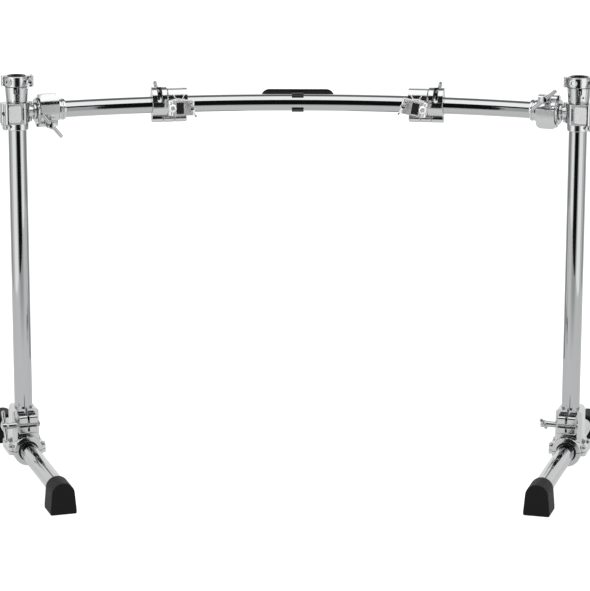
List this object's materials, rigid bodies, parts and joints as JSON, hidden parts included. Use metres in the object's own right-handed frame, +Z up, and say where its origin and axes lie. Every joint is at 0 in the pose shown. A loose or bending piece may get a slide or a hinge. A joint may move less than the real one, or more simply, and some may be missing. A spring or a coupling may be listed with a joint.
{
  "type": "drum rack frame",
  "caption": "Curved drum rack frame: a bowed chrome bar clamped between two posts on T legs, with hinged clamps, tube receivers and rubber feet.",
  "frame": {"origin": "middle of the outline seen from above, on the floor", "axes": "+Z up; the player sits on the -Y side and the bar bows to +Y; +X is to the right seen from the player"},
  "size_m": [1.4554, 0.6326, 0.9132],
  "materials": {
    "chromed_tube": "mirror chrome on steel tube",
    "chromed_casting": "chrome on a die casting",
    "chromed_hardware": "chrome on steel bolts and handles",
    "rubber_feet": "matt moulded rubber",
    "nylon": "moulded nylon",
    "satin_plastic": "satin moulded plastic"
  },
  "bodies": {
    "bar_assembly": {"bar_tube": "chromed_tube", "left_bar_plug": "satin_plastic", "right_bar_plug": "satin_plastic", "left_bar_memory_ring": "chromed_casting", "right_bar_memory_ring": "chromed_casting", "left_bar_clamp_body": "chromed_casting", "right_bar_clamp_body": "chromed_casting"},
    "badge": {"badge_plate": "satin_plastic"},
    "left_bar_clamp_jaw": {"left_bar_clamp_jaw": "chromed_casting"},
    "left_bar_clamp_handle": {"left_bar_clamp_handle": "chromed_hardware"},
    "left_post_clamp": {"left_post_clamp_body": "chromed_casting", "left_post_memory_ring": "chromed_casting"},
    "left_post_memory_screw": {"left_post_memory_screw": "chromed_hardware"},
    "left_post_clamp_jaw": {"left_post_clamp_jaw": "chromed_casting"},
    "left_post_clamp_handle": {"left_post_clamp_handle": "chromed_hardware"},
    "left_post": {"left_post_tube": "chromed_tube", "left_receiver_sleeve": "chromed_casting", "left_receiver_bushing": "nylon"},
    "left_receiver_jaw": {"left_receiver_jaw": "chromed_casting"},
    "left_receiver_wing_bolt": {"left_receiver_wing_bolt": "chromed_hardware"},
    "left_leg": {"left_base_casting": "chromed_casting", "left_leg_tube": "chromed_tube", "left_front_foot": "rubber_feet", "left_rear_foot": "rubber_feet", "left_leg_strap": "chromed_casting", "left_base_liner": "nylon"},
    "left_base_handle": {"left_base_handle": "chromed_hardware"},
    "left_middle_clamp": {"left_middle_clamp_body": "chromed_casting"},
    "left_middle_clamp_jaw": {"left_middle_clamp_jaw": "chromed_casting"},
    "left_middle_clamp_handle": {"left_middle_clamp_handle": "chromed_hardware"},
    "left_accessory_block": {"left_accessory_block": "chromed_casting"},
    "left_accessory_gate": {"left_accessory_gate": "chromed_casting", "left_accessory_pad": "nylon"},
    "left_accessory_wing_bolt": {"left_accessory_wing_bolt": "chromed_hardware"},
    "right_bar_clamp_jaw": {"right_bar_clamp_jaw": "chromed_casting"},
    "right_bar_clamp_handle": {"right_bar_clamp_handle": "chromed_hardware"},
    "right_post_clamp": {"right_post_clamp_body": "chromed_casting", "right_post_memory_ring": "chromed_casting"},
    "right_post_memory_screw": {"right_post_memory_screw": "chromed_hardware"},
    "right_post_clamp_jaw": {"right_post_clamp_jaw": "chromed_casting"},
    "right_post_clamp_handle": {"right_post_clamp_handle": "chromed_hardware"},
    "right_post": {"right_post_tube": "chromed_tube", "right_receiver_sleeve": "chromed_casting", "right_receiver_bushing": "nylon"},
    "right_receiver_jaw": {"right_receiver_jaw": "chromed_casting"},
    "right_receiver_wing_bolt": {"right_receiver_wing_bolt": "chromed_hardware"},
    "right_leg": {"right_base_casting": "chromed_casting", "right_leg_tube": "chromed_tube", "right_front_foot": "rubber_feet", "right_rear_foot": "rubber_feet", "right_leg_strap": "chromed_casting", "right_base_liner": "nylon"},
    "right_base_handle": {"right_base_handle": "chromed_hardware"},
    "right_middle_clamp": {"right_middle_clamp_body": "chromed_casting"},
    "right_middle_clamp_jaw": {"right_middle_clamp_jaw": "chromed_casting"},
    "right_middle_clamp_handle": {"right_middle_clamp_handle": "chromed_hardware"},
    "right_accessory_block": {"right_accessory_block": "chromed_casting"},
    "right_accessory_gate": {"right_accessory_gate": "chromed_casting", "right_accessory_pad": "nylon"},
    "right_accessory_wing_bolt": {"right_accessory_wing_bolt": "chromed_hardware"}
  },
  "joints": [
    {"name": "badge_tilt", "type": "hinge", "parent": "bar_assembly", "child": "badge", "pos_m": [0.00394, 0.21183, 0.823], "axis": [1, 0, 0], "range_deg": [-30, 30]},
    {"name": "left_bar_clamp_open", "type": "hinge", "parent": "bar_assembly", "child": "left_bar_clamp_jaw", "pos_m": [-0.55956, 0.09786, 0.853], "axis": [-0.9214, -0.3886, 0], "range_deg": [0, 35]},
    {"name": "left_bar_clamp_handle_spin", "type": "hinge", "parent": "left_bar_clamp_jaw", "child": "left_bar_clamp_handle", "pos_m": [-0.55956, 0.09786, 0.793], "axis": [-0.3886, 0.9214, 0], "continuous": true},
    {"name": "left_corner_swivel", "type": "hinge", "parent": "bar_assembly", "child": "left_post_clamp", "pos_m": [-0.62406, 0.07065, 0.823], "axis": [-0.9214, -0.3886, 0], "range_deg": [-90, 90]},
    {"name": "left_post_memory_screw_spin", "type": "hinge", "parent": "left_post_clamp", "child": "left_post_memory_screw", "pos_m": [-0.64878, 0.05751, 0.79165], "axis": [-0.4695, 0.8829, 0], "continuous": true},
    {"name": "left_post_clamp_open", "type": "hinge", "parent": "left_post_clamp", "child": "left_post_clamp_jaw", "pos_m": [-0.59734, 0.08192, 0.823], "axis": [0, 0, 1], "range_deg": [0, 25]},
    {"name": "left_post_clamp_handle_spin", "type": "hinge", "parent": "left_post_clamp", "child": "left_post_clamp_handle", "pos_m": [-0.65355, 0.05822, 0.823], "axis": [-0.3886, 0.9214, 0], "continuous": true},
    {"name": "left_post_height", "type": "slide", "parent": "left_post_clamp", "child": "left_post", "axis": [0, 0, 1], "range_m": [0, 0.4]},
    {"name": "left_receiver_open", "type": "hinge", "parent": "left_post", "child": "left_receiver_jaw", "pos_m": [-0.65306, 0.07065, 0.8933], "axis": [0, 0, -1], "range_deg": [0, 30]},
    {"name": "left_receiver_wing_spin", "type": "hinge", "parent": "left_receiver_jaw", "child": "left_receiver_wing_bolt", "pos_m": [-0.59306, 0.07065, 0.8933], "axis": [0, 1, 0], "continuous": true},
    {"name": "left_leg_turn", "type": "hinge", "parent": "left_post", "child": "left_leg", "pos_m": [-0.62406, 0.07065, 0.1], "axis": [0, 0, 1], "range_deg": [-90, 90]},
    {"name": "left_base_handle_spin", "type": "hinge", "parent": "left_leg", "child": "left_base_handle", "pos_m": [-0.61016, 0.02786, 0.109], "axis": [0.9511, 0.309, 0], "continuous": true},
    {"name": "left_middle_clamp_travel", "type": "hinge", "parent": "bar_assembly", "child": "left_middle_clamp", "pos_m": [0.00394, -1.23817, 0.823], "axis": [0, 0, 1], "range_deg": [-6, 6]},
    {"name": "left_middle_clamp_open", "type": "hinge", "parent": "left_middle_clamp", "child": "left_middle_clamp_jaw", "pos_m": [-0.27306, 0.18513, 0.792], "axis": [-0.9816, -0.191, 0], "range_deg": [0, 30]},
    {"name": "left_middle_clamp_handle_spin", "type": "hinge", "parent": "left_middle_clamp_jaw", "child": "left_middle_clamp_handle", "pos_m": [-0.31232, 0.17749, 0.851], "axis": [-0.191, 0.9816, 0], "continuous": true},
    {"name": "left_accessory_swivel", "type": "hinge", "parent": "left_middle_clamp", "child": "left_accessory_block", "pos_m": [-0.27306, 0.18513, 0.823], "axis": [-0.191, 0.9816, 0], "range_deg": [-90, 90]},
    {"name": "left_accessory_gate_open", "type": "hinge", "parent": "left_accessory_block", "child": "left_accessory_gate", "pos_m": [-0.28183, 0.1281, 0.823], "axis": [0, 0, -1], "range_deg": [0, 60]},
    {"name": "left_accessory_wing_spin", "type": "hinge", "parent": "left_accessory_gate", "child": "left_accessory_wing_bolt", "pos_m": [-0.23619, 0.13698, 0.823], "axis": [-0.191, 0.9816, 0], "continuous": true},
    {"name": "right_bar_clamp_open", "type": "hinge", "parent": "bar_assembly", "child": "right_bar_clamp_jaw", "pos_m": [0.56744, 0.09786, 0.793], "axis": [0.9214, -0.3886, 0], "range_deg": [0, 35]},
    {"name": "right_bar_clamp_handle_spin", "type": "hinge", "parent": "right_bar_clamp_jaw", "child": "right_bar_clamp_handle", "pos_m": [0.56744, 0.09786, 0.853], "axis": [0.3886, 0.9214, 0], "continuous": true},
    {"name": "right_corner_swivel", "type": "hinge", "parent": "bar_assembly", "child": "right_post_clamp", "pos_m": [0.63194, 0.07065, 0.823], "axis": [0.9214, -0.3886, 0], "range_deg": [-90, 90]},
    {"name": "right_post_memory_screw_spin", "type": "hinge", "parent": "right_post_clamp", "child": "right_post_memory_screw", "pos_m": [0.65666, 0.05751, 0.79165], "axis": [0.4695, 0.8829, 0], "continuous": true},
    {"name": "right_post_clamp_open", "type": "hinge", "parent": "right_post_clamp", "child": "right_post_clamp_jaw", "pos_m": [0.60522, 0.08192, 0.823], "axis": [0, 0, -1], "range_deg": [0, 25]},
    {"name": "right_post_clamp_handle_spin", "type": "hinge", "parent": "right_post_clamp", "child": "right_post_clamp_handle", "pos_m": [0.66142, 0.05822, 0.823], "axis": [0.3886, 0.9214, 0], "continuous": true},
    {"name": "right_post_height", "type": "slide", "parent": "right_post_clamp", "child": "right_post", "axis": [0, 0, 1], "range_m": [0, 0.4]},
    {"name": "right_receiver_open", "type": "hinge", "parent": "right_post", "child": "right_receiver_jaw", "pos_m": [0.60294, 0.07065, 0.8933], "axis": [0, 0, -1], "range_deg": [0, 30]},
    {"name": "right_receiver_wing_spin", "type": "hinge", "parent": "right_receiver_jaw", "child": "right_receiver_wing_bolt", "pos_m": [0.66294, 0.07065, 0.8933], "axis": [0, 1, 0], "continuous": true},
    {"name": "right_leg_turn", "type": "hinge", "parent": "right_post", "child": "right_leg", "pos_m": [0.63194, 0.07065, 0.1], "axis": [0, 0, 1], "range_deg": [-90, 90]},
    {"name": "right_base_handle_spin", "type": "hinge", "parent": "right_leg", "child": "right_base_handle", "pos_m": [0.61953, 0.0274, 0.109], "axis": [0.9613, -0.2756, 0], "continuous": true},
    {"name": "right_middle_clamp_travel", "type": "hinge", "parent": "bar_assembly", "child": "right_middle_clamp", "pos_m": [0.00394, -1.23817, 0.823], "axis": [0, 0, 1], "range_deg": [-6, 6]},
    {"name": "right_middle_clamp_open", "type": "hinge", "parent": "right_middle_clamp", "child": "right_middle_clamp_jaw", "pos_m": [0.28094, 0.18513, 0.792], "axis": [-0.9816, 0.191, 0], "range_deg": [0, 30]},
    {"name": "right_middle_clamp_handle_spin", "type": "hinge", "parent": "right_middle_clamp_jaw", "child": "right_middle_clamp_handle", "pos_m": [0.3202, 0.17749, 0.851], "axis": [0.191, 0.9816, 0], "continuous": true},
    {"name": "right_accessory_swivel", "type": "hinge", "parent": "right_middle_clamp", "child": "right_accessory_block", "pos_m": [0.28094, 0.18513, 0.823], "axis": [0.191, 0.9816, 0], "range_deg": [-90, 90]},
    {"name": "right_accessory_gate_open", "type": "hinge", "parent": "right_accessory_block", "child": "right_accessory_gate", "pos_m": [0.28942, 0.12816, 0.81961], "axis": [0.1705, -0.0332, 0.9848], "range_deg": [0, 60]},
    {"name": "right_accessory_wing_spin", "type": "hinge", "parent": "right_accessory_gate", "child": "right_accessory_wing_bolt", "pos_m": [0.24447, 0.13691, 0.82769], "axis": [0.191, 0.9816, 0], "continuous": true}
  ],
  "couplings": [
    {"joint": "right_post_height", "follows": "left_post_height", "ratio": 1}
  ]
}
